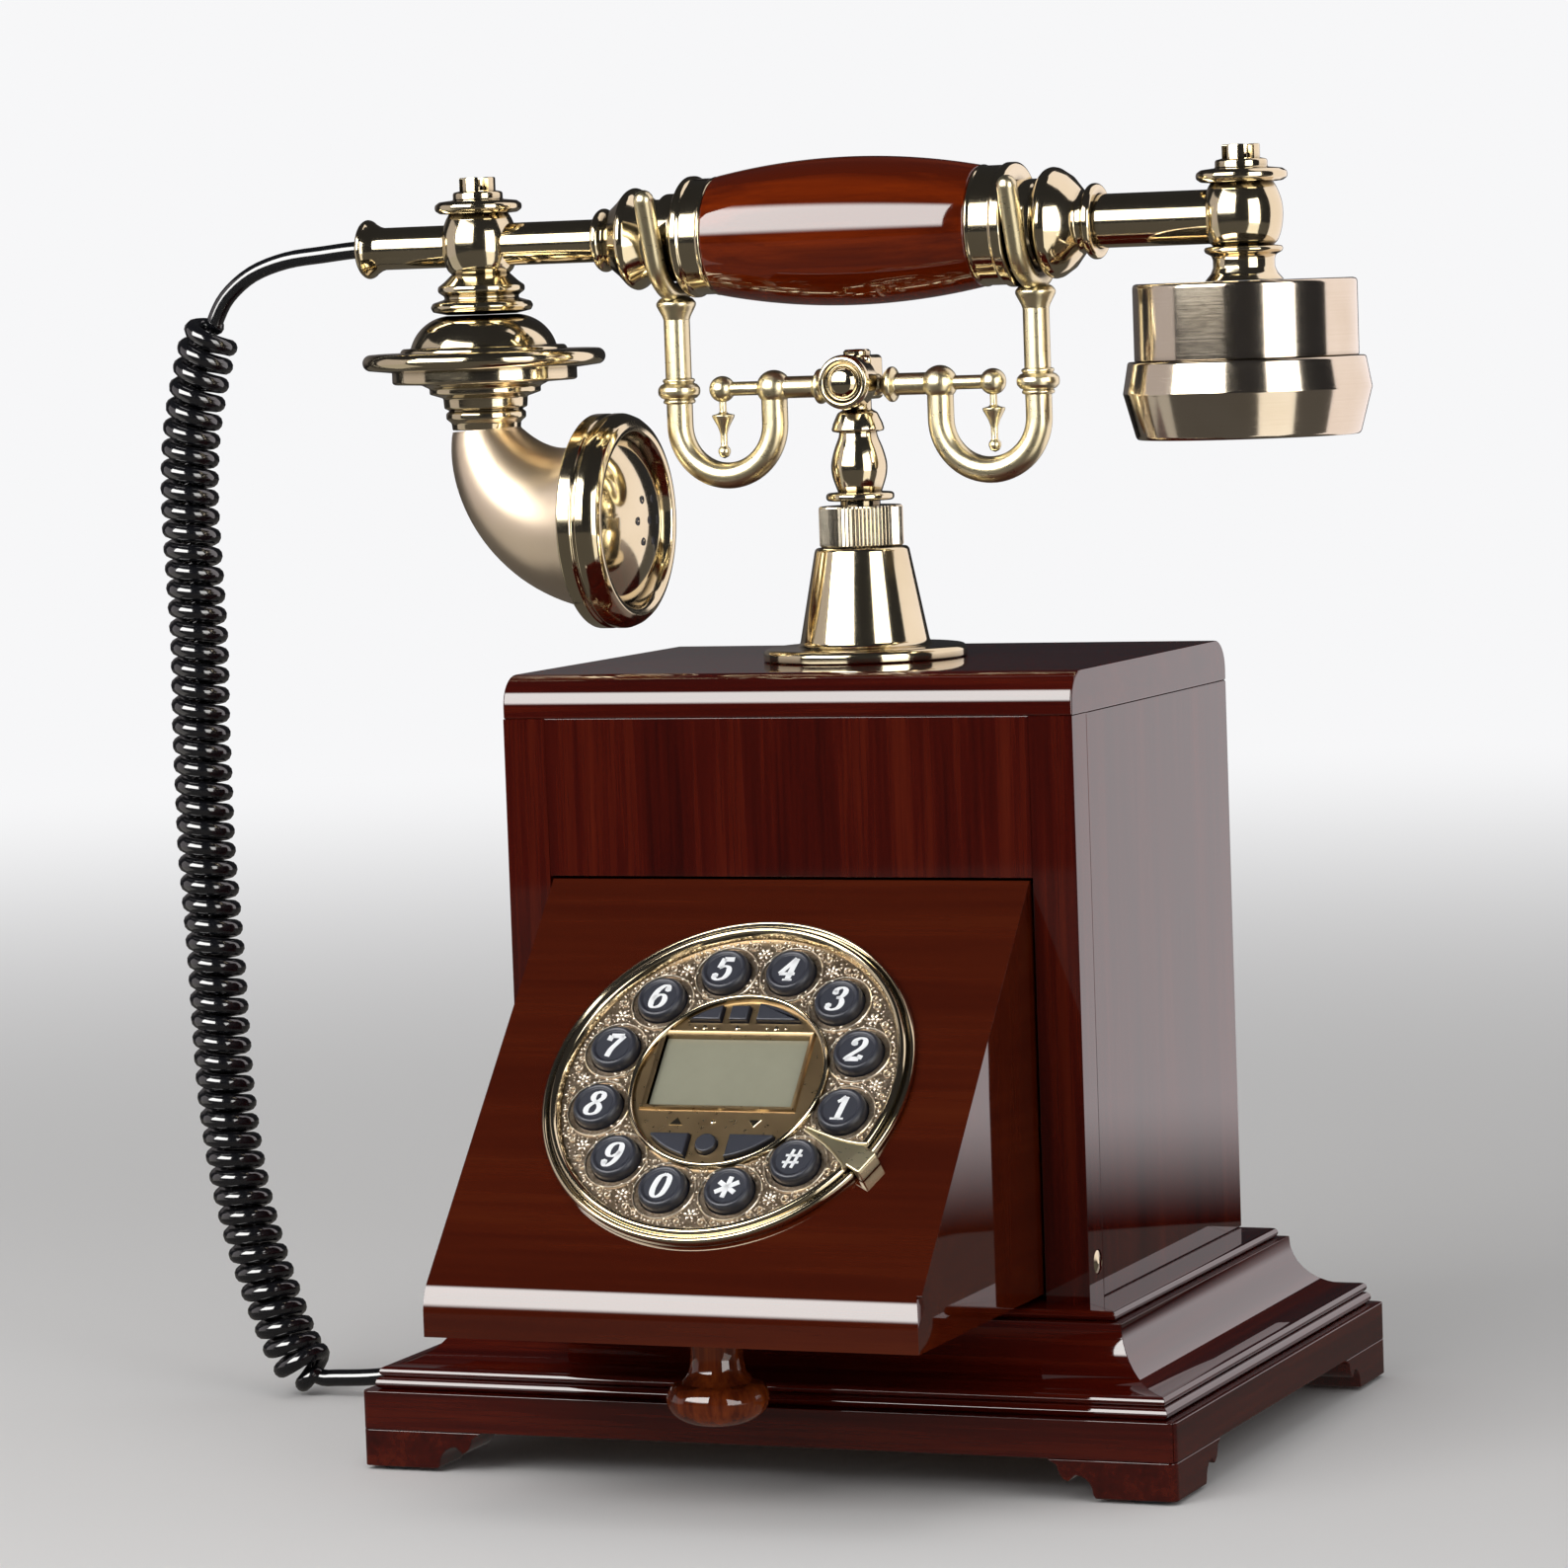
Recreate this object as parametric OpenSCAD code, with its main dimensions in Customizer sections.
// Wooden desk telephone in the antique style: a plinth and cabinet, a pull-out front
// with a push-button dial, a sprung cradle, and a brass handset on a coiled cord.
// Millimetres. X is to the right, Y away from the user, Z up, and z = 0 is the table.

/* [Base] */
// Width of the plinth
base_w = 210; // [200:1:252]
// Depth of the plinth
base_d = 170; // [160:1:204]
// Height of the bracket feet, with their pads
foot_h = 10.1; // [8.5:0.1:12.2]
// Height of the plinth boards
rail_h = 9.4; // [9.2:0.1:11.3]
// Thickness of the plinth boards
rail_t = 20; // [17:0.5:22]
// Height of the moulding above the plinth
moulding_h = 22; // [21:0.5:27]
// How far the top of the moulding stands in from the plinth
edge_inset = 21.3; // [20:0.1:24]
// Thickness of the felt pads
pad_t = 1; // [0.8:0.1:1.2]

/* [Cabinet] */
// Width of the cabinet
cab_w = 148.2; // [145:0.1:160]
// Depth of the cabinet
cab_d = 117.6; // [110:0.1:122]
// Height of the cabinet above the moulding
cab_h = 151; // [145:1:182]
// Thickness of the top board
top_t = 10.5; // [9:0.1:12.6]
// Thickness of the side boards
side_t = 8; // [7:0.1:9]
// Thickness of the back board
back_t = 8; // [6.7:0.1:9.6]
// Thickness of the front frame
frame_t = 10; // [8.5:0.1:11]
// Radius along the front and back edges of the top board
top_edge_r = 7.5; // [5:0.1:8.5]

/* [Pull-out front] */
// Width of the pull-out front
drawer_w = 124.2; // [120:0.1:125]
// Gap between the front and the frame on each side
front_gap = 0.9; // [0.5:0.1:1.2]
// How far the nose stands in front of the cabinet
nose_reach = 82.7; // [78:0.1:92]
// Height of the slope's top edge above the deck
slope_top_h = 101.2; // [98:0.1:110]
// Height of the gap under the front
under_gap = 1.8; // [1.5:0.1:2.2]
// Thickness of the drawer's boards
board_t = 10; // [8.5:0.1:11]
// Depth of the tray behind the slope, measured inside the cabinet
tray_in = 91.9; // [80:0.1:92]
// Travel of the drawer
drawer_travel = 70; // [58:1:70]

/* [Dial] */
// Outer radius of the dial's rim
rim_r = 46.3; // [44:0.1:48]
// Radius of the circle of keys
key_ring_r = 32.3; // [31.5:0.1:33]
// Diameter of a number key
key_d = 12; // [10:0.1:12.6]
// Distance of the dial's centre up the slope
dial_s = 62; // [58:0.5:66]
// Travel of the keys
key_travel = 1.2; // [0.8:0.1:1.3]
// Width of the display glass
glass_w = 37; // [34:0.5:38]
// Height of the display glass
glass_h = 20; // [17:0.5:20.5]

/* [Cradle] */
// Distance of each fork from the centre
arm_x = 48; // [47.5:0.1:48.5]
// Bend radius of the cradle's tubes
bend_r = 12.9; // [11:0.1:14]
// Radius of the cradle's tubes
arm_tube_r = 3.3; // [2.8:0.1:3.9]
// Radius of the fork rods
fork_rod_r = 2.6; // [2.2:0.1:2.7]
// Height of the handset's axis above the cabinet
hand_h = 106.3; // [104:0.1:112]
// Rise of the cradle when the handset is lifted
hook_travel = 5; // [4:0.5:5]
// Radius of the cradle's plunger rod
plunger_r = 5; // [4.2:0.1:5.4]

/* [Handset] */
// Length of the wooden grip
grip_l = 70; // [66:0.5:72]
// Largest radius of the grip
grip_r = 18.4; // [16:0.1:22]
// Distance of the posts from the middle
post_x = 101.8; // [98:0.1:110]
// Radius of the left tube
left_tube_r = 5.4; // [4.8:0.1:6]
// Radius of the right tube
right_tube_r = 6.6; // [5.8:0.1:7]
// Radius of the mouthpiece rim
mouth_r = 27.2; // [26.4:0.1:28.8]
// Height of the mouthpiece's domed plate above its edge
dome_h = 7; // [5:0.1:8]
// Radius of the saucer above the mouthpiece
saucer_r = 31; // [29:0.1:36]
// Radius of the ear drum
drum_r = 27.2; // [26:0.1:30]

/* [Cord] */
// Outer diameter of the coiled cord
coil_d = 15.5; // [13:0.5:16]
// Diameter of the straight cord
lead_d = 4.6; // [4:0.1:5]

/* [Hidden] */
$fn = 64;

// Fits and small gaps
glue_line = 0.1;      // between two boards of one frame
snug = 0.05;          // radial, between a rod or tube and its bore
loose = 0.3;          // between curved faces of different bodies
over = 1;             // how far a cutting tool runs past a face

// Colours
lacquer = "#4a150e";
slope_wood = "#5a2312";
orange_wood = "#8a3a12";
brass = "#b79a5e";
steel = "#9a9ca0";
felt = "#3c3f41";
dark_rubber = "#2b2e38";
board_green = "#2f6b45";
black_plastic = "#141416";

// Heights of the case
plinth_z = foot_h;
moulding_z = plinth_z + rail_h;
deck_z = moulding_z + moulding_h;
cab_top = deck_z + cab_h;
board_z = cab_top - top_t;            // underside of the top board

// Places across and along the case, from the middle of the plinth
ledge_x = base_w / 2 - edge_inset;
ledge_y = base_d / 2 - edge_inset;
cab_back = ledge_y;
cab_front = cab_back - cab_d;
opening_w = drawer_w + 2 * front_gap;
opening_top = deck_z + slope_top_h + 0.7;
nose_y = cab_front - nose_reach;
set_back = -(nose_y + base_d / 2) / 2;          // the plinth's middle behind the middle of the footprint

// Pull-out front
tray_z = deck_z + under_gap;
floor_z = tray_z + board_t - 0.3;     // top of the drawer's floor, where the slope starts
slope_h = deck_z + slope_top_h - floor_z;
slope_a = atan(slope_h / nose_reach);
nose_r = 8;
lip_r = 3;
front_in = 9;                         // how far the slope panel reaches into the frame
under_y = nose_y + board_t / sin(slope_a);       // where the slope's underside meets the floor
under_top = floor_z + (cab_front + front_in - under_y) * tan(slope_a);
tray_h = 47;                          // height of the tray's walls above its floor
tray_back = cab_front + tray_in;
dial_hole_r = rim_r - 2.3;
plate_z = 0.5;                        // top of the dial plate above the slope
plate_t = 1.5;
key_h = 2.7;                          // height of the keys above the dial plate
centre_r = 22.4;                      // reach of the function keys from the dial's centre

// Cradle, measured from the top of the cabinet
hand_y = 2.4;
hand_z = cab_top + hand_h;
neck_r = 11;                          // radius of the handset where the forks hold it
fork_r = neck_r + loose + fork_rod_r;
rod_z = 68;                           // height of the cross rods
boss_z = 69;
bend_z = 59.2;
leg_in = arm_x - 2 * bend_r;          // inner legs of the bent tubes
socket_z = hand_h - fork_r - 5.4;
flange_top = -top_t - hook_travel;    // the plunger's stop flange under the top board
flange_t = 2.5;
spring_l = 16;
seat_z = flange_top - flange_t - spring_l;

// Handset, measured from its own axis
drum_top = -15.7;
drum_low = -34.5;
post_low = -17.6;
horn_top = -46.8;
horn_x = 28.4;                        // reach of the horn's bend forwards
horn_z = 24;                          // and downwards
horn_r0 = 8.7;
horn_r1 = mouth_r - 5;
horn_wall = 1.2;
cap_x = post_x + 32.2;                // face of the end cap where the cord leaves

// Sockets
jack_w = 10;
jack_h = 8;
jack_l = 14;
jack_z = plinth_z + jack_h / 2;
socket_w = 7.9;
socket_h = 6.6;
socket_l = 12;
line_x = 37;
line_z = deck_z + 25;
line_size = 14;

// The cord's route in the plane of the handset, as [x, z] points
lead_route = [[-131, 298.8], [-137, 298.8], [-146, 298], [-157, 297], [-168, 293.3],
    [-177, 288.2], [-181, 282.2]];
coil_route = [[-178, 280], [-181, 274.5], [-185, 262], [-187, 250], [-188, 234],
    [-187.5, 215], [-187, 197], [-187.5, 178], [-187.5, 160], [-187.5, 145],
    [-187, 134], [-186, 115], [-185.5, 96], [-184.5, 76.5], [-182, 57], [-177.5, 38],
    [-171, 19], [-164.5, 5.5]];
tail_route = [[-164, 4.4], [-160, 4.6], [-155, 5.2], [-143, 5.8], [-132, 8.2],
    [-124, 12], [-118.5, 14.1], [-109, 14.1]];

// --- Helpers ---

// Puts a piece of the case into the part's own frame
module placed() translate([0, set_back, 0]) children();
module on_cradle() placed() translate([0, hand_y, cab_top]) children();
module on_handset() placed() translate([0, hand_y, hand_z]) children();
module on_drawer() placed() children();
// Slope frame: X across, Y up the slope, Z out of it, from the dial's centre
module on_dial() {
    placed()
        translate([0, nose_y, floor_z])
            rotate([slope_a, 0, 0])
                translate([0, dial_s, 0])
                    children();
}

function arc(x, y, r, from, to, n = 6) =
    [for (i = [0 : n]) let (a = from + (to - from) * i / n) [x + r * cos(a), y + r * sin(a)]];

// Turned about Z from [radius, height] points, or about X from [radius, x] points
module turned(outline) rotate_extrude() polygon(outline);
module turned_x(outline) rotate([0, 90, 0]) turned(outline);
module both_sides() {
    children();
    mirror([1, 0, 0]) children();
}

// An outline in Y and Z, drawn out along X between two places
module along_x(x0, x1, outline) {
    translate([x0, 0, 0])
        rotate([90, 0, 90])
            linear_extrude(x1 - x0)
                polygon(outline);
}

module rounded_plan(w, d, r) {
    square([w - 2 * r, d], center = true);
    square([w, d - 2 * r], center = true);
    for (x = [-1, 1])
        for (y = [-1, 1])
            translate([x * (w / 2 - r), y * (d / 2 - r)])
                circle(r);
}

// Cuts a frame of outer size w by d, reach wide, into four boards with mitred ends
module mitred(w, d, reach, z0, z1) {
    g = glue_line / 2;
    for (s = [-1, 1]) {
        intersection() {
            children(0);
            translate([0, 0, z0])
                linear_extrude(z1 - z0)
                    polygon([[-w / 2 + g, s * d / 2], [w / 2 - g, s * d / 2],
                        [w / 2 - reach - g, s * (d / 2 - reach)],
                        [-w / 2 + reach + g, s * (d / 2 - reach)]]);
        }
        intersection() {
            children($children - 1);
            translate([0, 0, z0])
                linear_extrude(z1 - z0)
                    polygon([[s * w / 2, -d / 2 + g], [s * w / 2, d / 2 - g],
                        [s * (w / 2 - reach), d / 2 - reach - g],
                        [s * (w / 2 - reach), -d / 2 + reach + g]]);
        }
    }
}

// A closed skin over rings of points; the last ring joins the first when it is hollow
module skin(rings, hollow = false) {
    n = len(rings[0]);
    m = len(rings);
    last = hollow ? m : m - 1;
    sides = [for (i = [0 : last - 1]) for (k = [0 : n - 1])
        let (j = (i + 1) % m, l = (k + 1) % n)
        [i * n + k, i * n + l, j * n + l, j * n + k]];
    ends = hollow ? [] : [[for (k = [n - 1 : -1 : 0]) k], [for (k = [0 : n - 1]) (m - 1) * n + k]];
    polyhedron([for (ring = rings) for (p = ring) p], concat(sides, ends), convexity = 6);
}

// Rings square to a flat route of [x, z] points, each ring halfway between its neighbours' directions
function heading(route, i) =
    let (a = route[max(i - 1, 0)], b = route[min(i + 1, len(route) - 1)], d = b - a) d / norm(d);
function route_ring(c, t, r, n) =
    [for (k = [0 : n - 1]) let (a = 360 * k / n)
        [c[0] - r * cos(a) * t[1], r * sin(a), c[1] + r * cos(a) * t[0]]];
module cord_tube(route, d, n) {
    skin([for (i = [0 : len(route) - 1]) route_ring(route[i], heading(route, i), d / 2, n)]);
}

// --- Case ---

module felt_pads() placed() color(felt) {
    for (x = [-1, 1])
        for (y = [-1, 1])
            translate([x * (base_w / 2 - 8), y * (base_d / 2 - 8), 0])
                cylinder(r = 6, h = pad_t);
}

// One arm of a bracket foot, seen from its own side, from the corner inwards
foot_t = 14;
module foot_arm(length) {
    inner = length - 12;
    rotate([90, 0, 0])
        mirror([0, 0, 1])
            linear_extrude(foot_t)
                polygon(concat([[0, pad_t], [inner, pad_t]],
                    arc(inner + 5, pad_t + 1, 4.4, 180, 90, 5),
                    arc(inner + 5.4, plinth_z - 1.6, 4, -70, 0, 4),
                    [[length, plinth_z - glue_line], [0, plinth_z - glue_line]]));
}
module bracket_foot() {
    intersection() {
        union() {
            foot_arm(32);
            mirror([1, -1, 0]) foot_arm(34);
        }
        translate([base_w / 2, base_d / 2, 0])
            linear_extrude(plinth_z)
                rounded_plan(base_w, base_d, 2);
    }
}

module plinth() placed() color(lacquer) {
    difference() {
        mitred(base_w, base_d, rail_t, plinth_z, moulding_z)
            translate([0, 0, plinth_z])
                linear_extrude(rail_h)
                    rounded_plan(base_w, base_d, 2);
        // notch for the handset's socket
        translate([-base_w / 2 - over, hand_y - jack_w / 2 - snug, plinth_z - over])
            cube([rail_t + 2 * over, jack_w + 2 * snug, jack_h + snug + over]);
    }
    for (sx = [0, 1])
        for (sy = [0, 1])
            mirror([sx, 0, 0])
                mirror([0, sy, 0])
                    translate([-base_w / 2, -base_d / 2, 0])
                        bracket_foot();
}

moulding_reach = 39;
screw_r = 1.5;
screw_x = base_w / 2 - 27;
screw_y = base_d / 2 - 45;
plate_low = moulding_z - 3;
function moulding_outline(half) = concat(
    [[half - moulding_reach, moulding_z]],
    arc(half - 4.1, moulding_z + 1.5, 1.5, -90, 90),
    arc(half - 4.6, moulding_z + 4.2, 1.2, -90, 90),
    arc(half - 5.1, deck_z - 2.7, moulding_h - 8.1, 270, 180, 10),
    [[half - 5.1 - (moulding_h - 8.1), deck_z - 2.5]],
    arc(half - edge_inset - 1.15, deck_z - 1.25, 1.25, -90, 90),
    [[half - moulding_reach, deck_z]]);
module screws(r, z0, z1) {
    for (x = [-1, 1])
        for (y = [-1, 1])
            translate([x * screw_x, y * screw_y, z0])
                cylinder(r = r, h = z1 - z0);
}
module base_moulding() placed() color(lacquer) {
    difference() {
        mitred(base_w, base_d, moulding_reach, moulding_z, deck_z) {
            for (s = [0, 1])
                mirror([0, s, 0])
                    along_x(-base_w / 2, base_w / 2, moulding_outline(base_d / 2));
            rotate([0, 0, 90])
                for (s = [0, 1])
                    mirror([0, s, 0])
                        along_x(-base_d / 2, base_d / 2, moulding_outline(base_w / 2));
        }
        screws(screw_r + snug, moulding_z - over, moulding_z + 8.5);
    }
}

module bottom_plate() placed() color("#5b4634") {
    difference() {
        translate([0, 0, plate_low + 1.5])
            cube([base_w - 2 * rail_t - 2 * glue_line, base_d - 2 * rail_t - 2 * glue_line, 3],
                center = true);
        screws(screw_r + snug, plate_low - over, moulding_z + over);
    }
}

deck_t = 10;
runner_h = under_gap - glue_line;
module deck_board() placed() color("#5b4634") {
    translate([0, 0, deck_z - deck_t / 2])
        cube([base_w - 2 * moulding_reach - 2 * glue_line,
            base_d - 2 * moulding_reach - 2 * glue_line, deck_t], center = true);
    for (x = [-50, 40])
        translate([x, cab_front + frame_t + 2, deck_z + snug])
            cube([10, tray_in - frame_t - 4, runner_h - snug]);
}

module cabinet_sides() placed() color(lacquer) {
    both_sides()
        translate([cab_w / 2 - side_t, cab_front + frame_t, deck_z])
            cube([side_t, cab_d - frame_t, board_z - deck_z]);
}

plunger_hole_r = plunger_r + 0.5;
module top_board() placed() color(lacquer) {
    r = top_edge_r;
    difference() {
        along_x(-cab_w / 2, cab_w / 2, concat(
            [[cab_front, board_z], [cab_back, board_z]],
            arc(cab_back - r, cab_top - r, r, 0, 90, 8),
            arc(cab_front + r, cab_top - r, r, 90, 180, 8)));
        translate([0, hand_y, board_z - over])
            cylinder(r = plunger_hole_r, h = top_t + 2 * over);
    }
}

ringer_x = -36;
ringer_z = deck_z + 38;
module back_panel() placed() color(lacquer) {
    difference() {
        translate([-cab_w / 2 + side_t, cab_back - back_t, deck_z])
            cube([cab_w - 2 * side_t, back_t, board_z - deck_z]);
        translate([line_x - line_size / 2 - snug, cab_back - back_t - over, line_z - line_size / 2 - snug])
            cube([line_size + 2 * snug, back_t + 2 * over, line_size + 2 * snug]);
        // sound holes of the ringer
        for (i = [0 : 5])
            translate([ringer_x + 9 * cos(60 * i), cab_back + over, ringer_z + 9 * sin(60 * i)])
                rotate([90, 0, 0])
                    cylinder(r = 1.5, h = back_t + 2 * over, $fn = 24);
    }
}

stile_w = (cab_w - opening_w) / 2;
pin_y = cab_front + 6.5;
pin_z = deck_z + 9;
pin_r = 2.75;
module front_frame() placed() color(lacquer) {
    both_sides()
        difference() {
            translate([cab_w / 2 - stile_w, cab_front, deck_z])
                cube([stile_w, frame_t, board_z - deck_z]);
            translate([cab_w / 2 - 9, pin_y, pin_z])
                rotate([0, 90, 0])
                    cylinder(r = screw_r + snug, h = 9 + over);
            translate([cab_w / 2 - 1.2, pin_y, pin_z])
                rotate([0, 90, 0])
                    cylinder(r = pin_r + 0.25, h = 1.2 + over);
        }
    translate([-opening_w / 2 + glue_line, cab_front, opening_top])
        cube([opening_w - 2 * glue_line, frame_t, board_z - opening_top]);
}

// Handset socket in the left of the plinth, and line socket in the back
module phone_jacks() placed() color(black_plastic) {
    difference() {
        translate([-base_w / 2 + 1, hand_y - jack_w / 2, plinth_z])
            cube([jack_l, jack_w, jack_h]);
        translate([-base_w / 2, hand_y - socket_w / 2, jack_z - socket_h / 2])
            cube([socket_l + 1, socket_w, socket_h]);
    }
    difference() {
        translate([line_x - line_size / 2, cab_back - 12, line_z - line_size / 2])
            cube([line_size, 12, line_size]);
        translate([line_x - 4.9, cab_back - 9, line_z - 3.4])
            cube([9.8, 9 + over, 6.8]);
    }
}

module main_board() placed() color(board_green) {
    back_in = cab_back - back_t;
    translate([-32, back_in - 6.7, deck_z + 63])
        cube([64, 1.6, 50]);
    for (x = [-27, 27])
        for (z = [68, 108])
            translate([x, back_in, deck_z + z])
                rotate([90, 0, 0])
                    cylinder(r = 2.5, h = 6);
    translate([-12, back_in - 9.7, deck_z + 80])
        cube([18, 3.5, 18]);
    translate([14, back_in - 16.7, deck_z + 76])
        cube([9, 10.5, 12]);
}

module ringer() placed() color(black_plastic) {
    translate([ringer_x, cab_back - back_t, ringer_z])
        rotate([90, 0, 0]) {
            cylinder(r = 18, h = 4);
            cylinder(r = 10, h = 10);
        }
}

// Bracket under the top board, with the switch that the plunger works
bracket_x = 20;
bracket_y = 9;
module hook_switch() on_cradle() color(steel) {
    difference() {
        translate([-bracket_x, -bracket_y, seat_z - 2])
            cube([2 * bracket_x, 2 * bracket_y, -top_t - seat_z + 2]);
        translate([-bracket_x + 2, -bracket_y - over, seat_z])
            cube([2 * bracket_x - 4, 2 * bracket_y + 2 * over, -top_t - seat_z + over]);
    }
    translate([plunger_r + 4.2, -6, seat_z + snug])
        cube([8, 12, 14]);
}

// --- Cradle ---

collar_z0 = 28;
collar_z1 = 38.1;
module cradle_base() on_cradle() color(brass) {
    turned([[plunger_hole_r, 0], [25.5, 0], [25.5, 2.2], [24.5, 3.2], [17, 3.2], [16.3, 3.8],
        [11.8, 27.8], [plunger_hole_r, 27.8]]);
    turned([[plunger_r + snug, collar_z0], [10.2, collar_z0], [10.5, collar_z0 + 0.3],
        [10.5, collar_z1 - 0.3], [10.2, collar_z1], [plunger_r + snug, collar_z1]]);
}

module case_fasteners() placed() color(brass) {
    screws(screw_r, plate_low, moulding_z + 8);
    screws(3, plate_low - 1.5, plate_low);
    both_sides()
        translate([0, pin_y, pin_z])
            turned_x([[0, cab_w / 2 - 8.5], [screw_r, cab_w / 2 - 8.5], [screw_r, cab_w / 2 - 1.2],
                [pin_r, cab_w / 2 - 1.2], [pin_r, cab_w / 2 - 0.2], [0, cab_w / 2 + 0.3]]);
}

module cradle_column() on_cradle() color(brass) {
    difference() {
        union() {
            turned(concat([[0, seat_z + 2], [3, seat_z + 2], [3, flange_top - flange_t],
                [8, flange_top - flange_t], [8, flange_top], [plunger_r, flange_top],
                [plunger_r, 39.5], [8.2, 39.5], [8.5, 39.9], [8.5, 40.9], [8.2, 41.3], [5.4, 41.5],
                [5.4, 41.9], [6.1, 43.4], [6.8, 45.6], [7, 47.5], [6.8, 49.4], [6, 52.4],
                [4.9, 55.4], [4.7, 56.3], [6.6, 56.8], [6.6, 57.5], [5, 61.4], [3.6, 62], [3.6, 66], [0, 66]]));
            translate([-5.2, -3.4, boss_z - 4.5])
                cube([10.4, 9, 11]);
            translate([0, -3, boss_z])
                rotate([90, 0, 0])
                    turned([[0, 0], [6.8, 0], [6.8, 6], [6.2, 6.9], [5.2, 6.9], [4.6, 5.8],
                        [4.1, 5.8], [3.6, 7.1], [2, 8], [0, 8.3]]);
        }
        translate([-6, 0, rod_z])
            rotate([0, 90, 0])
                cylinder(r = 2.75 + snug, h = 12);
    }
}

ball_r = 4.45;
tip_x = leg_in + 14;
module cradle_arm() {
    translate([0, 0, rod_z]) {
        turned_x([[0, 0.5], [2.75, 0.5], [2.75, 6], [2, 6.6], [2, 7.2], [4.4, 9.2], [4.4, 10],
            [2.75, 10.6], [2.75, leg_in], [1.75, leg_in], [1.75, tip_x], [0, tip_x]]);
        translate([leg_in, 0, 0])
            sphere(ball_r);
        translate([tip_x, 0, 0])
            sphere(3.3);
        translate([tip_x, 0, 0])
            turned(concat([[0, 0], [0.9, 0], [0.9, -6], [2.9, -6.4], [0.9, -11], [0.9, -14.4]],
                [[1.6, -15.8], [1.1, -17], [0, -17.4]]));
    }
    translate([leg_in, 0, bend_z])
        cylinder(r = arm_tube_r, h = rod_z - bend_z);
    translate([arm_x - bend_r, 0, bend_z])
        rotate([-90, 0, 0])
            rotate_extrude(angle = 180)
                translate([bend_r, 0])
                    circle(arm_tube_r, $fn = 48);
    // outer leg with its bead and the socket that carries the fork
    translate([arm_x, 0, 0])
        turned([[0, bend_z], [arm_tube_r, bend_z], [arm_tube_r, 64.8], [4, 65], [4, 65.8], [5.3, 66],
            [5.3, 69.6], [4, 69.8], [4, 70.8], [arm_tube_r, 71], [arm_tube_r, socket_z - 1], [3.8, socket_z],
            [5, socket_z + 2], [5, socket_z + 3], [3, socket_z + 4.6], [0, socket_z + 4.6]]);
}

fork_low_a = 20;          // where each fork leaves its arc, below the handset's axis
prong_l = 15;
module fork() {
    rotate([90, 0, 90])
        rotate([0, 0, 180 + fork_low_a])
            rotate_extrude(angle = 180 - 2 * fork_low_a)
                translate([fork_r, 0])
                    circle(fork_rod_r, $fn = 48);
    for (s = [-1, 1])
        translate([0, s * fork_r * cos(fork_low_a), -fork_r * sin(fork_low_a)])
            rotate([-s * fork_low_a, 0, 0]) {
                translate([0, 0, -1])
                    cylinder(r = fork_rod_r - 0.1, h = prong_l + 1);
                translate([0, 0, prong_l])
                    sphere(fork_rod_r);
            }
}
module cradle_arms() on_cradle() color(brass) {
    both_sides() {
        cradle_arm();
        translate([arm_x, 0, hand_h]) fork();
    }
}

module hook_spring() on_cradle() color(steel) {
    turned([[5, seat_z], [6.5, seat_z], [6.5, seat_z + spring_l], [5, seat_z + spring_l]]);
}

// --- Pull-out front ---

module front_block(x0, x1) {
    top = deck_z + slope_top_h;
    along_x(x0, x1, concat(
        arc(nose_y + lip_r, tray_z + lip_r, lip_r, 270, 180, 5),
        arc(nose_y + nose_r, floor_z - nose_r * tan((90 - slope_a) / 2), nose_r, 180, 90 + slope_a, 6),
        [[cab_front, top], [cab_front + front_in, top], [cab_front + front_in, floor_z],
            [tray_back, floor_z], [tray_back, tray_z]]));
}
module slope_panel() on_drawer() color(slope_wood) {
    difference() {
        front_block(-drawer_w / 2, drawer_w / 2);
        translate([-drawer_w / 2 - over, nose_y - over, tray_z - over])
            cube([drawer_w + 2 * over, tray_back - nose_y + 2 * over, floor_z - tray_z + over]);
        along_x(-drawer_w / 2 - over, drawer_w / 2 + over, [[under_y, floor_z - over], [under_y, floor_z],
            [cab_front + front_in + over, under_top + over * tan(slope_a)],
            [cab_front + front_in + over, floor_z - over]]);
        translate([0, nose_y, floor_z])
            rotate([slope_a, 0, 0])
                translate([0, dial_s, -board_t - 5])
                    cylinder(r = dial_hole_r, h = board_t + 10);
    }
}

nib = 2 * front_gap + 1.9;
module drawer_cheeks() on_drawer() color(lacquer) {
    rear = cab_front + front_in;
    both_sides() {
        along_x(drawer_w / 2 - board_t, drawer_w / 2, [[under_y, floor_z], [rear, under_top],
            [rear, floor_z + tray_h], [tray_back, floor_z + tray_h], [tray_back, floor_z]]);
        // nib behind the front frame that stops the drawer
        translate([drawer_w / 2 - over, cab_front + frame_t + drawer_travel + 0.4, floor_z])
            cube([nib + over, tray_in - frame_t - drawer_travel - 0.4, tray_h]);
    }
}

tray_back_t = 8;
module drawer_tray() on_drawer() color("#5b2a1c") {
    intersection() {
        front_block(-drawer_w / 2, drawer_w / 2);
        translate([-drawer_w / 2 - over, nose_y - over, tray_z - over])
            cube([drawer_w + 2 * over, tray_back - nose_y + 2 * over, floor_z - tray_z + over]);
    }
    translate([-drawer_w / 2 + board_t, tray_back - tray_back_t, floor_z + glue_line])
        cube([drawer_w - 2 * board_t, tray_back_t, tray_h - glue_line]);
}

knob_y = nose_y + 28.6;
module pull_knob() on_drawer() color(orange_wood) {
    translate([0, knob_y, tray_z])
        turned(concat([[0, 0], [6.5, 0], [6.2, -4], [6.2, -8], [6.8, -11], [8.4, -13]],
            arc(8.2, -17.4, 3.8, 80, -60, 8), [[7, -22.4], [3.6, -23.4], [0, -23.6]]));
}

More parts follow.
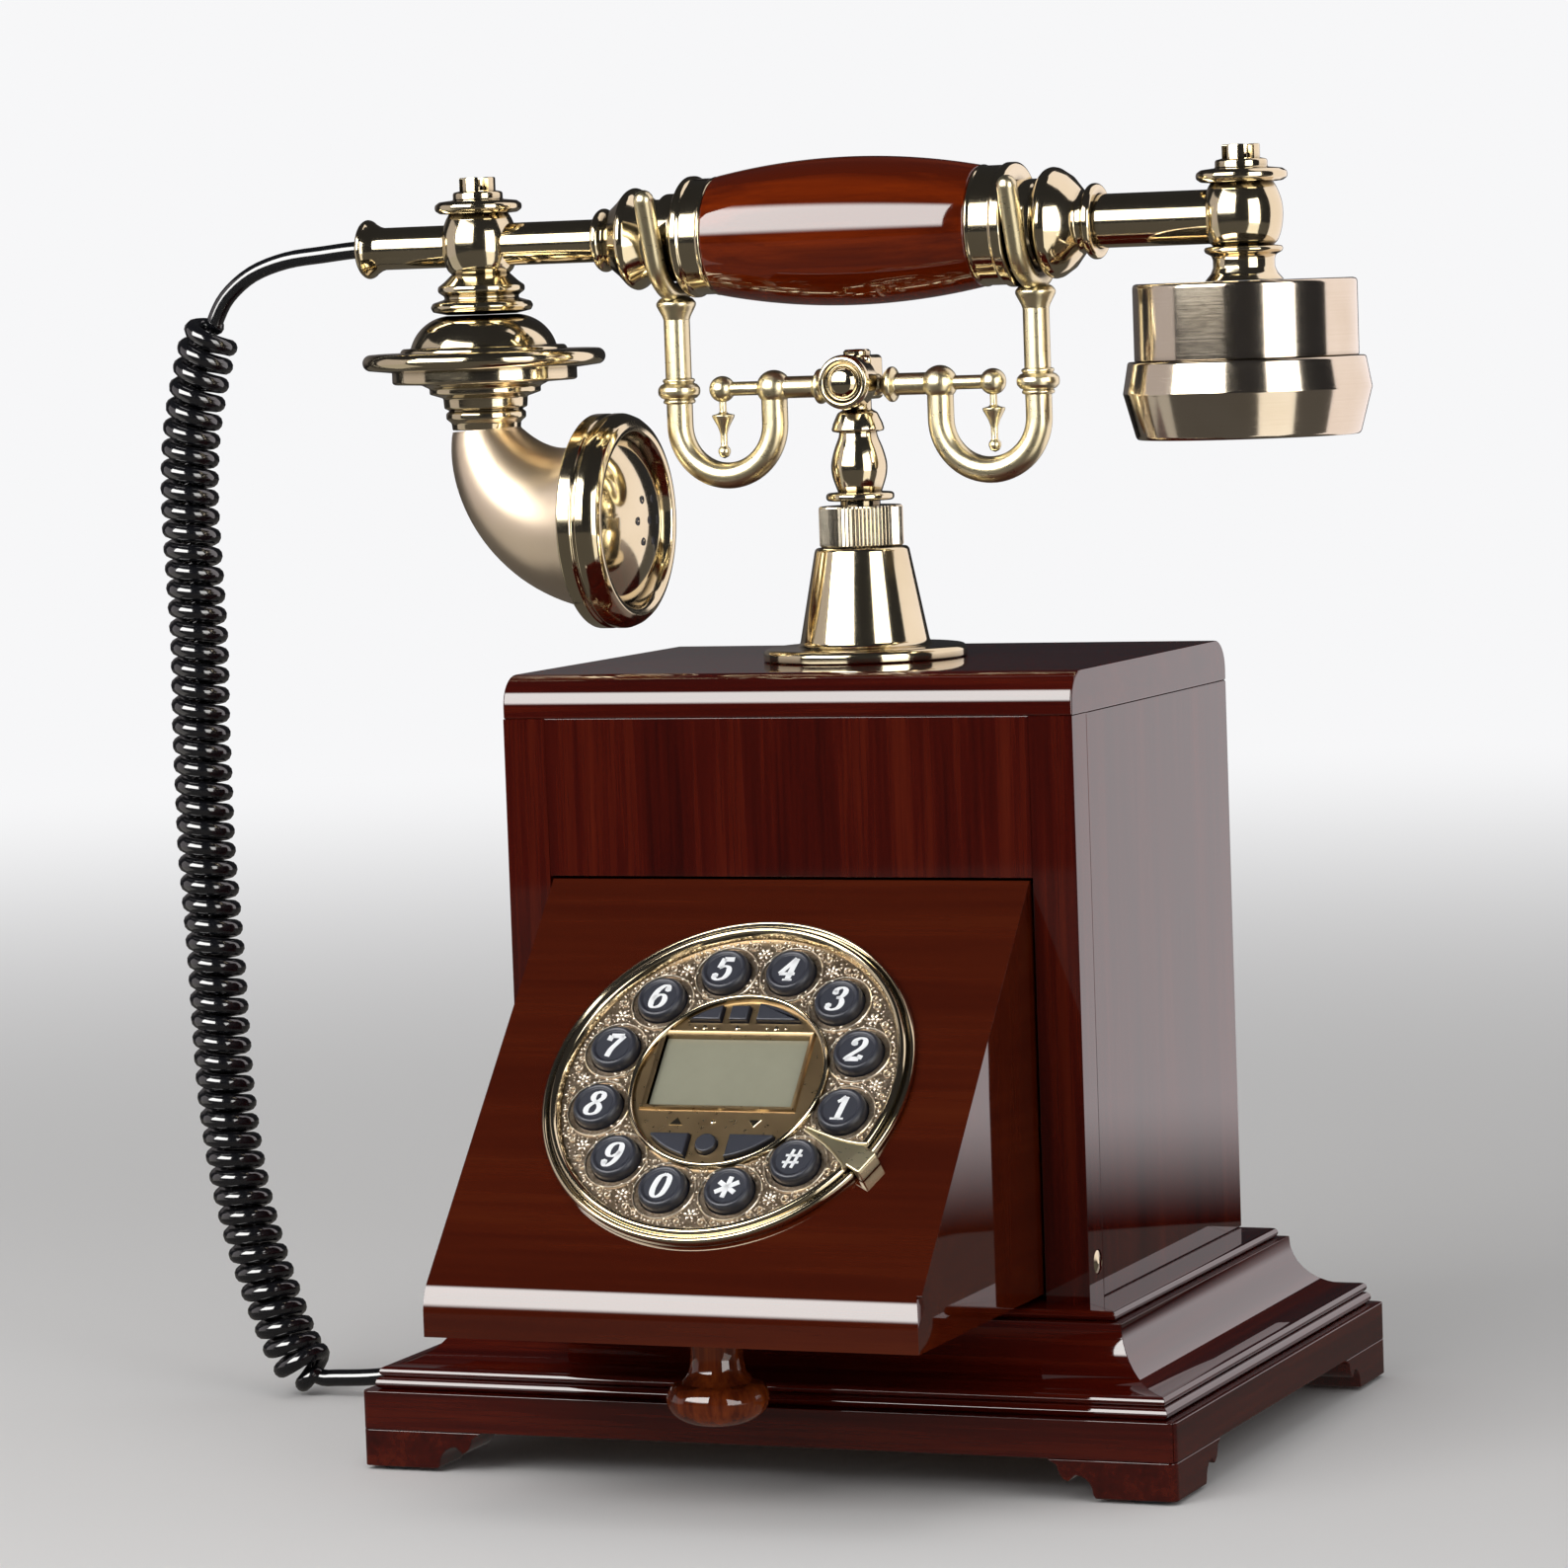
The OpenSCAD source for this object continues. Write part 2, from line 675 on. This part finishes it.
module dial_rings() on_dial() color(brass) {
    turned([[dial_hole_r + 0.05, 0], [rim_r, 0], [rim_r, 1.9], [rim_r - 0.6, 2.8], [rim_r - 1.5, 3],
        [rim_r - 3, 3], [rim_r - 4, 2.4], [rim_r - 4.6, plate_z], [dial_hole_r + 0.05, plate_z]]);
    turned([[centre_r + 1.2, plate_z], [centre_r + 2.4, plate_z], [centre_r + 2.3, 1.6],
        [centre_r + 1.8, 2], [centre_r + 1.3, 1.6]]);
}

// The function keys: x range, offset range from the dial's centre, and a round one in the middle below
fn_rects = [[[-14.6, -6.3], [17.3, 22.4]], [[-4, 0.6], [17.3, 21.4]], [[3, 14.2], [17.3, 22.4]],
    [[-15.6, -5.8], [-22.4, -15.4]], [[-3.6, 1.6], [-20.6, -15.4]], [[4.6, 15.6], [-22.4, -15.4]]];
module fn_shape(i, grow, z0, z1) {
    rect = fn_rects[i];
    lo = [rect[0][0] - grow, rect[1][0] - grow, z0];
    hi = [rect[0][1] + grow, rect[1][1] + grow, z1];
    if (i == 4)
        translate([(lo[0] + hi[0]) / 2, (lo[1] + hi[1]) / 2, z0])
            cylinder(r = (hi[0] - lo[0]) / 2, h = z1 - z0);
    else
        intersection() {
            translate(lo) cube(hi - lo);
            translate([0, 0, z0]) cylinder(r = centre_r + grow, h = z1 - z0);
        }
}

glass_x = -1;
glass_s = 3.3;
function key_at(a) = [key_ring_r * cos(a), key_ring_r * sin(a), 0];
key_angles = [255, -15, 15, 45, 75, 105, 135, 165, 195, 225, 285, 315];
module dial_plate() on_dial() color(brass) {
    low = plate_z - plate_t;
    difference() {
        turned([[0, low], [dial_hole_r - 1.6, low], [dial_hole_r - 1.6, -board_t],
            [dial_hole_r - 0.1, -board_t], [dial_hole_r - 0.1, plate_z], [0, plate_z]]);
        for (a = key_angles)
            translate(key_at(a) + [0, 0, low - over])
                cylinder(r = key_d / 2 + loose, h = plate_t + 2 * over);
        for (i = [0 : 5])
            fn_shape(i, loose, low - over, plate_z + over);
        translate([glass_x - glass_w / 2 - loose, glass_s - glass_h / 2 - loose, low - over])
            cube([glass_w + 2 * loose, glass_h + 2 * loose, plate_t + 2 * over]);
    }
}

module display() on_dial() color("#8f9a84") {
    low = plate_z - plate_t;
    translate([glass_x, glass_s, 0]) {
        translate([-glass_w / 2, -glass_h / 2, low - 0.5])
            cube([glass_w, glass_h, plate_t + 0.3]);
        translate([-glass_w / 2 - 1.6, -glass_h / 2 - 1.6, low - 4.1])
            cube([glass_w + 3.2, glass_h + 3.2, 4]);
        for (y = [-1, 1])
            translate([-15, y * glass_h / 2 - 1.2, -board_t])
                cube([30, 2.4, board_t + low - 4]);
    }
}

board_w = 96;
module keypad_board() on_dial() color(board_green) {
    translate([-board_w / 2, -board_w / 2, -board_t - 1.6])
        cube([board_w, board_w, 1.6]);
}

module finger_stop() on_dial() color(brass) {
    foot_a = -30;                     // midway between the last two keys
    foot_r = rim_r + 0.2;
    half = 3.6;
    rotate([0, 0, foot_a]) {
        translate([0, 0, 3.2])
            linear_extrude(1.2)
                polygon([[foot_r - 19.5, 0.6], [foot_r - 12, 1.4], [foot_r - 6, 2.6], [foot_r - 2, half],
                    [foot_r + 2.6, half], [foot_r + 2.6, -half], [foot_r - 2, -half],
                    [foot_r - 6, -2.6], [foot_r - 12, -1.4], [foot_r - 19.5, -0.6]]);
        translate([foot_r, -half, 0])
            cube([2.6, 2 * half, 3.4]);
    }
}

// A rubber key: cap, flange under the plate, and stem above the board
module key_body(i) {
    low = plate_z - plate_t;
    a = key_angles[i];
    translate(key_at(a))
        turned([[0, -board_t + key_travel + 0.2], [2.5, -board_t + key_travel + 0.2], [2.5, low - 1.6],
            [key_d / 2 + 0.9, low - 1.6], [key_d / 2 + 0.9, low - 0.3], [key_d / 2, low - 0.3],
            [key_d / 2, plate_z + key_h - 0.9], [key_d / 2 - 0.9, plate_z + key_h], [0, plate_z + key_h]]);
}
module number_key(i) on_dial() color(dark_rubber) key_body(i);
module fn_key(i) on_dial() color(dark_rubber) {
    low = plate_z - plate_t;
    rect = fn_rects[i];
    mid = [(rect[0][0] + rect[0][1]) / 2, (rect[1][0] + rect[1][1]) / 2];
    fn_shape(i, 0, low - 0.4, plate_z + 1.4);
    fn_shape(i, 0.8, low - 1.6, low - 0.3);
    translate([mid[0], mid[1] * 0.97, -board_t + key_travel + 0.2])
        cylinder(r = 1.4, h = board_t - key_travel + low - 1);
}

// --- Handset ---

module grip() on_handset() color(orange_wood) {
    half = grip_l / 2;
    turned_x(concat([[4.5, -half]],
        [for (i = [-8 : 8]) [grip_r - 3.5 * pow(i / 8, 2), half * i / 8]],
        [[4.5, half]]));
}

bell_x = arm_x - 3.2;                 // where the ferrules end, just inside the forks
module handset_collars() on_handset() color(brass) {
    half = grip_l / 2;
    lb = left_tube_r + snug;
    rb = right_tube_r + snug;
    x0 = arm_x;
    mirror([1, 0, 0]) {
        turned_x([[lb, half], [14.6, half], [14.9, half + 0.6], [14.6, half + 1.4], [14.6, half + 5.6],
            [15.2, half + 6.2], [15.2, bell_x - 1.9], [14.4, bell_x - 1.3], [lb, bell_x - 1.3]]);
        turned_x([[lb, bell_x - 1.2], [12.6, bell_x - 1.2], [12.6, x0 - 3.7], [neck_r, x0 - 2.7],
            [neck_r, x0 + 1.2], [9.6, x0 + 2.6], [9.6, x0 + 5], [11.2, x0 + 7.5], [12.7, x0 + 9.4],
            [12.9, x0 + 10], [12.7, x0 + 10.6], [10, x0 + 13.5], [8, x0 + 16], [6.6, x0 + 17.3],
            [7.4, x0 + 17.6], [8, x0 + 18.2], [8, x0 + 19.3], [7.4, x0 + 20], [lb, x0 + 20]]);
    }
    turned_x([[rb, half], [14.8, half], [15.1, half + 0.6], [14.8, half + 1.4], [14.8, half + 6.4],
        [15.3, half + 7], [15.3, bell_x - 0.6], [14.6, bell_x], [rb, bell_x]]);
    turned_x([[rb, bell_x + glue_line], [neck_r, bell_x + glue_line], [neck_r, x0 + 1.4],
        [10.4, x0 + 2.6], [12.2, x0 + 3.5], [13.4, x0 + 4.6], [13.7, x0 + 5.4], [13.4, x0 + 7],
        [11.6, x0 + 10], [9, x0 + 12], [7.6, x0 + 13.2], [7.6, x0 + 14.8], [8.8, x0 + 15.1],
        [9.3, x0 + 15.8], [9.3, x0 + 16.9], [8.8, x0 + 17.5], [rb, x0 + 17.5]]);
}

cap_bore = lead_d / 2 + snug;
module handset_tubes() on_handset() color(brass) {
    half = grip_l / 2;
    r = left_tube_r;
    mirror([1, 0, 0])
        turned_x([[r - 1.2, half], [r, half], [r, cap_x - 5.4], [r + 0.5, cap_x - 4], [r + 1.4, cap_x - 2.2],
            [r + 2.1, cap_x - 1.4], [r + 2.2, cap_x - 0.6], [r + 1.7, cap_x], [cap_bore, cap_x],
            [cap_bore, cap_x - 5], [r - 1.2, cap_x - 6]]);
    turned_x([[right_tube_r - 1.2, half], [right_tube_r, half], [right_tube_r, post_x + 2],
        [right_tube_r - 1.2, post_x + 2]]);
}

// Posts: a slotted crown, a disc and a barrel that the tube runs into
post_top = [[2.4, 17.2], [4.5, 17.2], [4.5, 13.7], [6.35, 13.4], [6.35, 11.4], [10.4, 11.2], [11.1, 10.5],
    [11.1, 8.9], [10.4, 8.2], [7.4, 8], [8.6, 6.5], [9.6, 3.5], [9.8, 0.5], [9.5, -3], [8.4, -6], [7.4, -7]];
module crown_slots() {
    for (a = [45, 135])
        translate([0, 0, 16])
            rotate([0, 0, a])
                cube([12, 1.8, 2.8], center = true);
}
module handset_posts() on_handset() color(brass) {
    difference() {
        translate([-post_x, 0, 0])
            turned(concat(post_top, [[9.5, -9.2], [11.1, -10.4], [11.1, -11.6], [9.4, -13], [9.4, -13.4],
                [12.4, -14.2], [13.1, -15.5], [12.4, -16.8], [8.8, post_low], [2.4, post_low]]));
        translate([-post_x, 0, 0]) crown_slots();
        translate([-post_x - 15, 0, 0])
            rotate([0, 90, 0])
                cylinder(r = left_tube_r + snug, h = 30);
    }
    difference() {
        translate([post_x, 0, 0])
            turned(concat(post_top, [[9.2, -7.4], [9.6, -8.1], [9.2, -8.9], [7.8, -9.8], [7.5, -12.4],
                [8.2, -14], [9.5, drum_top], [2.4, drum_top]]));
        translate([post_x, 0, 0]) crown_slots();
        translate([post_x - 15, 0, 0])
            rotate([0, 90, 0])
                cylinder(r = right_tube_r + snug, h = 17 + snug);
    }
}

wire_bore = 5;
module mouth_saucer() on_handset() color(brass) {
    translate([-post_x, 0, 0])
        turned(concat([[wire_bore, post_low], [8.8, post_low]],
            arc(8, -28.6, 11, 84, 16, 7),
            [[19, -25.6], [20.4, -25.6], [21.2, -26.2], [21.2, -27.2], [22, -27.4], [saucer_r - 4, -26.8]],
            arc(saucer_r - 2.1, -29, 2.1, 90, -90, 8),
            [[23.4, -32], [23.4, -34.6], [16, -35], [14, -36], [14, -37.6], [10.7, -38.6], [10.7, -41.2],
                [9.2, -41.7], [10.2, -42.4], [10.2, -44], [8.7, -45], [8.7, horn_top], [wire_bore, horn_top]]));
}

function horn_ring(a, wall, n) =
    let (c = [horn_x * (1 - cos(a)), horn_top - horn_z * sin(a)],
        v = [horn_x * sin(a), -horn_z * cos(a)], t = v / norm(v),
        r = horn_r0 + (horn_r1 - horn_r0) * pow(a / 90, 1.05) - wall)
    route_ring(c, t, r, n);
module mouth_horn() on_handset() color(brass) {
    steps = 11;
    sides = 28;
    translate([-post_x, 0, 0])
        skin(concat([for (i = [0 : steps]) horn_ring(90 * i / steps, 0, sides)],
            [for (i = [steps : -1 : 0]) horn_ring(90 * i / steps, horn_wall, sides)]), hollow = true);
}

rim_back = 20;
function dome_line(mid, radius, from, to, n = 8) =
    [for (i = [0 : n]) let (y = from + (to - from) * i / n) [y, mid + sqrt(radius * radius - y * y)]];
module on_mouth() {
    on_handset()
        translate([-post_x + horn_x, 0, horn_top - horn_z])
            children();
}
module mouth_rim() on_mouth() color(brass) {
    r = mouth_r;
    edge_r = r - 6.2;                 // of the domed plate, 9 mm from the horn
    dome_r = (pow(edge_r, 2) + pow(dome_h, 2)) / (2 * dome_h);
    mid = 9 + dome_h - dome_r;
    difference() {
        turned_x(concat(dome_line(mid, dome_r - 1.2, 0, rim_back),
            [[rim_back, 0], [r - 4.6, 0], [r - 3.6, 0.6], [r - 3.6, 1.6], [r - 0.8, 1.8], [r, 2.2],
                [r, 5.8], [r - 0.7, 6.2], [r - 0.7, 6.8], [r, 7.2], [r, 9.4], [r - 1, 11], [r - 2, 12.2],
                [r - 2.8, 13], [r - 4.6, 13], [r - 5.6, 12.2], [edge_r, 9]],
            dome_line(mid, dome_r, edge_r - 1, 0)));
        for (i = [0 : 6])
            translate([mid + dome_r - 4, i > 0 ? 6 * cos(60 * i) : 0, i > 0 ? 6 * sin(60 * i) : 0])
                rotate([0, 90, 0])
                    cylinder(r = 0.8, h = 6, $fn = 24);
    }
}
module microphone() on_mouth() color(steel) {
    turned_x([[0, 1], [rim_back - 0.1, 1], [rim_back - 0.1, 8], [0, 8]]);
}

module ear_shell() on_handset() color(brass) {
    r = drum_r;
    translate([post_x, 0, 0])
        turned([[2.4, drum_top], [r - 1, drum_top], [r, drum_top - 1], [r, drum_low], [r - 2.2, drum_low],
            [r - 2.2, drum_low - 4], [r - 3.7, drum_low - 4], [r - 3.7, drum_top - 2], [2.4, drum_top - 2]]);
}
module ear_cap() on_handset() color(brass) {
    r = drum_r;
    difference() {
        translate([post_x, 0, 0])
            turned([[r - 2.1, drum_low], [r + 1.5, drum_low], [r + 3, drum_low - 7.7], [r - 0.1, drum_low - 18.9],
                [r - 1.8, drum_low - 18.9], [r - 5, drum_low - 17.8], [0, drum_low - 17.3],
                [0, drum_low - 15.8], [r - 2.1, drum_low - 15.8]]);
        for (i = [0 : 6])
            translate([post_x + (i > 0 ? 8 * cos(60 * i) : 0), i > 0 ? 8 * sin(60 * i) : 0, drum_low - 20])
                cylinder(r = 1, h = 6, $fn = 24);
    }
}
module earphone() on_handset() color(steel) {
    translate([post_x, 0, drum_low - 15.8])
        turned([[0, 0], [drum_r - 3.9, 0], [drum_r - 3.9, 7], [12, 9.5], [0, 9.5]]);
}

// --- Cord ---

module on_cord() placed() translate([0, hand_y, 0]) children();
module cord_lead() on_cord() color(black_plastic) cord_tube(lead_route, lead_d, 10);
module cord_coil() on_cord() color(black_plastic) cord_tube(coil_route, coil_d, 12);
module cord_tail() on_cord() color(black_plastic) cord_tube(tail_route, lead_d, 10);
module cord_plug() on_cord() color("#4a4c50") {
    x0 = -base_w / 2 + 0.4;
    translate([x0 - 3.4, -socket_w / 2 + 0.15, jack_z - socket_h / 2 + 0.15])
        cube([socket_l + 3.6, socket_w - 0.3, socket_h - 0.3]);
    translate([x0 - 3.4, 0, jack_z])
        rotate([0, -90, 0])
            turned([[lead_d / 2 + snug, 0], [3.2, 0], [2.9, 8], [lead_d / 2 + snug, 8]]);
}

felt_pads();
plinth();
base_moulding();
bottom_plate();
deck_board();
cabinet_sides();
top_board();
back_panel();
front_frame();
phone_jacks();
main_board();
ringer();
hook_switch();
cradle_base();
case_fasteners();
cradle_column();
cradle_arms();
hook_spring();
slope_panel();
drawer_cheeks();
drawer_tray();
pull_knob();
dial_rings();
dial_plate();
display();
keypad_board();
finger_stop();
number_key(0);  // key_0
number_key(1);  // key_1
number_key(2);  // key_2
number_key(3);  // key_3
number_key(4);  // key_4
number_key(5);  // key_5
number_key(6);  // key_6
number_key(7);  // key_7
number_key(8);  // key_8
number_key(9);  // key_9
number_key(10);  // key_star
number_key(11);  // key_hash
fn_key(0);  // fn_key_1
fn_key(1);  // fn_key_2
fn_key(2);  // fn_key_3
fn_key(3);  // fn_key_4
fn_key(4);  // fn_key_5
fn_key(5);  // fn_key_6
grip();
handset_collars();
handset_tubes();
handset_posts();
mouth_saucer();
mouth_horn();
mouth_rim();
microphone();
ear_shell();
ear_cap();
earphone();
cord_lead();
cord_coil();
cord_tail();
cord_plug();
